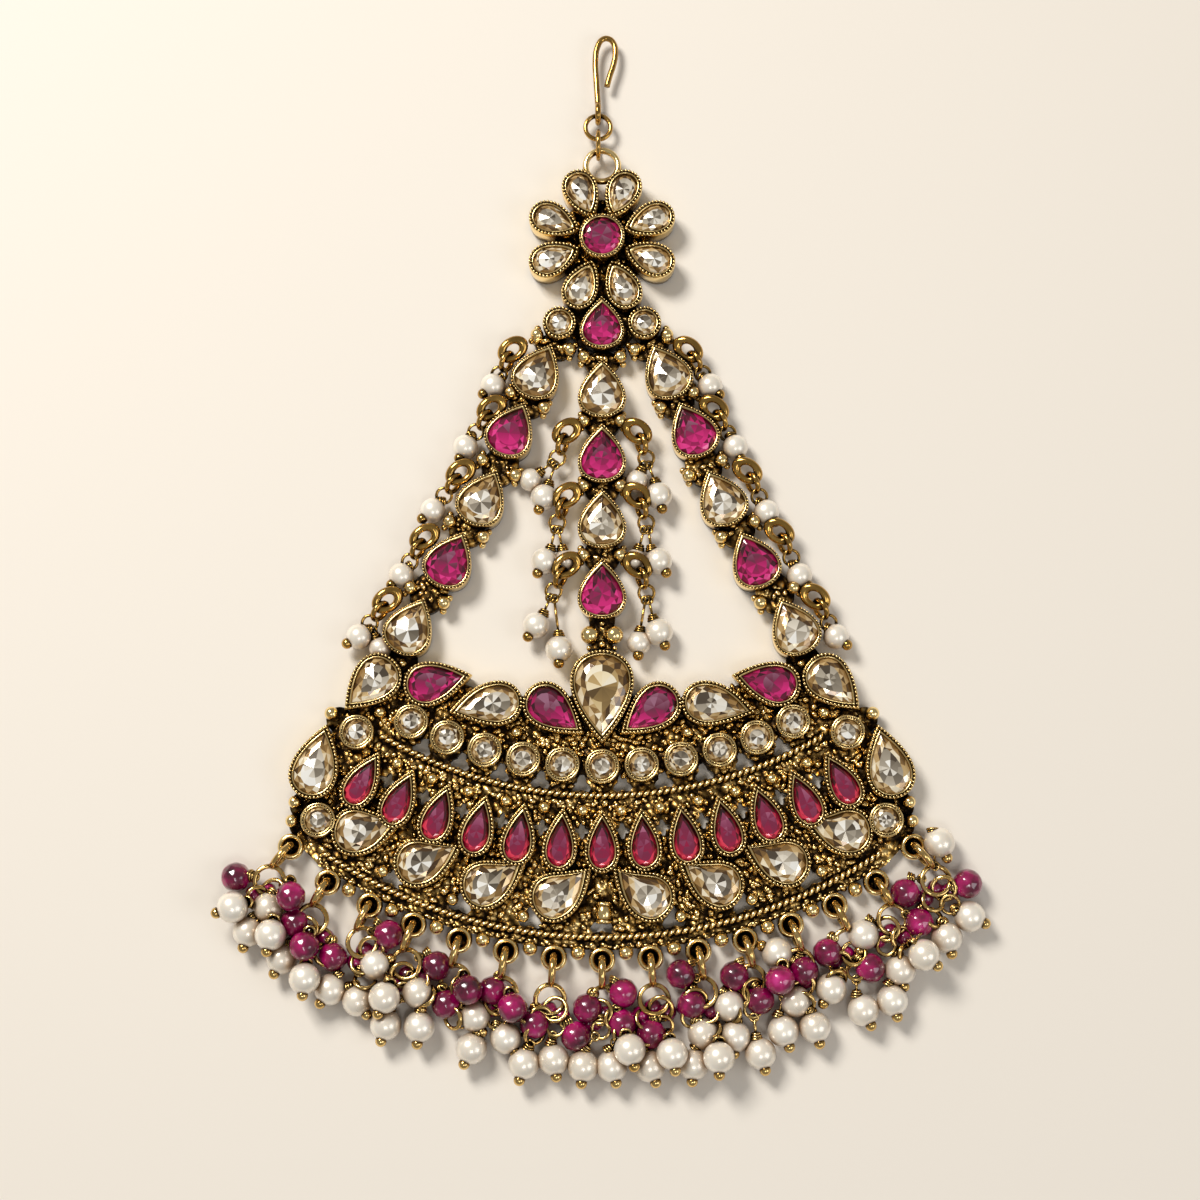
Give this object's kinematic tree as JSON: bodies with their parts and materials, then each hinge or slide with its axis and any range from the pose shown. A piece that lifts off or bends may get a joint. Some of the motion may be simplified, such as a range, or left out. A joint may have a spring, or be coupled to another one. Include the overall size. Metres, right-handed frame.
{
  "type": "jhoomar",
  "caption": "Fan-shaped head ornament of antique gold with ruby and clear cut stones, hung from a flower on three jewelled strands, with a fringe of pearls.",
  "frame": {"origin": "on the flat back of the crescent, behind the large golden crystal, on the line of symmetry", "axes": "+Y towards the hook at the top of the ornament, +Z out of its jewelled face, +X to the right as seen from the face"},
  "size_m": [0.0949, 0.1348, 0.0058],
  "materials": {
    "antique_gold": "antique gold plate, bright on the raised edges and near black in the recesses",
    "ruby_glass": "polished cut stone with foil behind it",
    "clear_glass": "polished champagne cut stone with foil behind it",
    "pearl": "satin pearl lustre"
  },
  "bodies": {
    "root": {"hook": "antique_gold", "upper_jump_ring": "antique_gold", "lower_jump_ring": "antique_gold", "crown": "antique_gold", "left_strand": "antique_gold", "right_strand": "antique_gold", "centre_strand": "antique_gold", "crescent": "antique_gold", "flower_ruby": "ruby_glass", "apex_ruby": "ruby_glass", "left_ruby_drop": "ruby_glass", "right_ruby_drop": "ruby_glass", "left_ruby_leaf": "ruby_glass", "right_ruby_leaf": "ruby_glass", "golden_crystal": "clear_glass", "left_strand_stone_1": "clear_glass", "left_strand_stone_2": "ruby_glass", "left_strand_stone_3": "clear_glass", "left_strand_stone_4": "ruby_glass", "left_strand_stone_5": "clear_glass", "right_strand_stone_1": "clear_glass", "right_strand_stone_2": "ruby_glass", "right_strand_stone_3": "clear_glass", "right_strand_stone_4": "ruby_glass", "right_strand_stone_5": "clear_glass", "centre_strand_stone_1": "clear_glass", "centre_strand_stone_2": "ruby_glass", "centre_strand_stone_3": "clear_glass", "centre_strand_stone_4": "ruby_glass", "left_strand_drop_1": "pearl", "left_strand_drop_2": "pearl", "left_strand_drop_3": "pearl", "left_strand_drop_4": "pearl", "left_strand_drop_5": "pearl", "right_strand_drop_1": "pearl", "right_strand_drop_2": "pearl", "right_strand_drop_3": "pearl", "right_strand_drop_4": "pearl", "right_strand_drop_5": "pearl", "fringe_01": "pearl", "fringe_02": "pearl", "fringe_03": "pearl", "fringe_04": "pearl", "fringe_05": "pearl", "fringe_06": "pearl", "fringe_07": "pearl", "fringe_08": "pearl", "fringe_09": "pearl", "fringe_10": "pearl", "fringe_11": "pearl", "fringe_12": "pearl", "fringe_13": "pearl", "fringe_14": "pearl", "fringe_15": "pearl"}
  },
  "joints": []
}
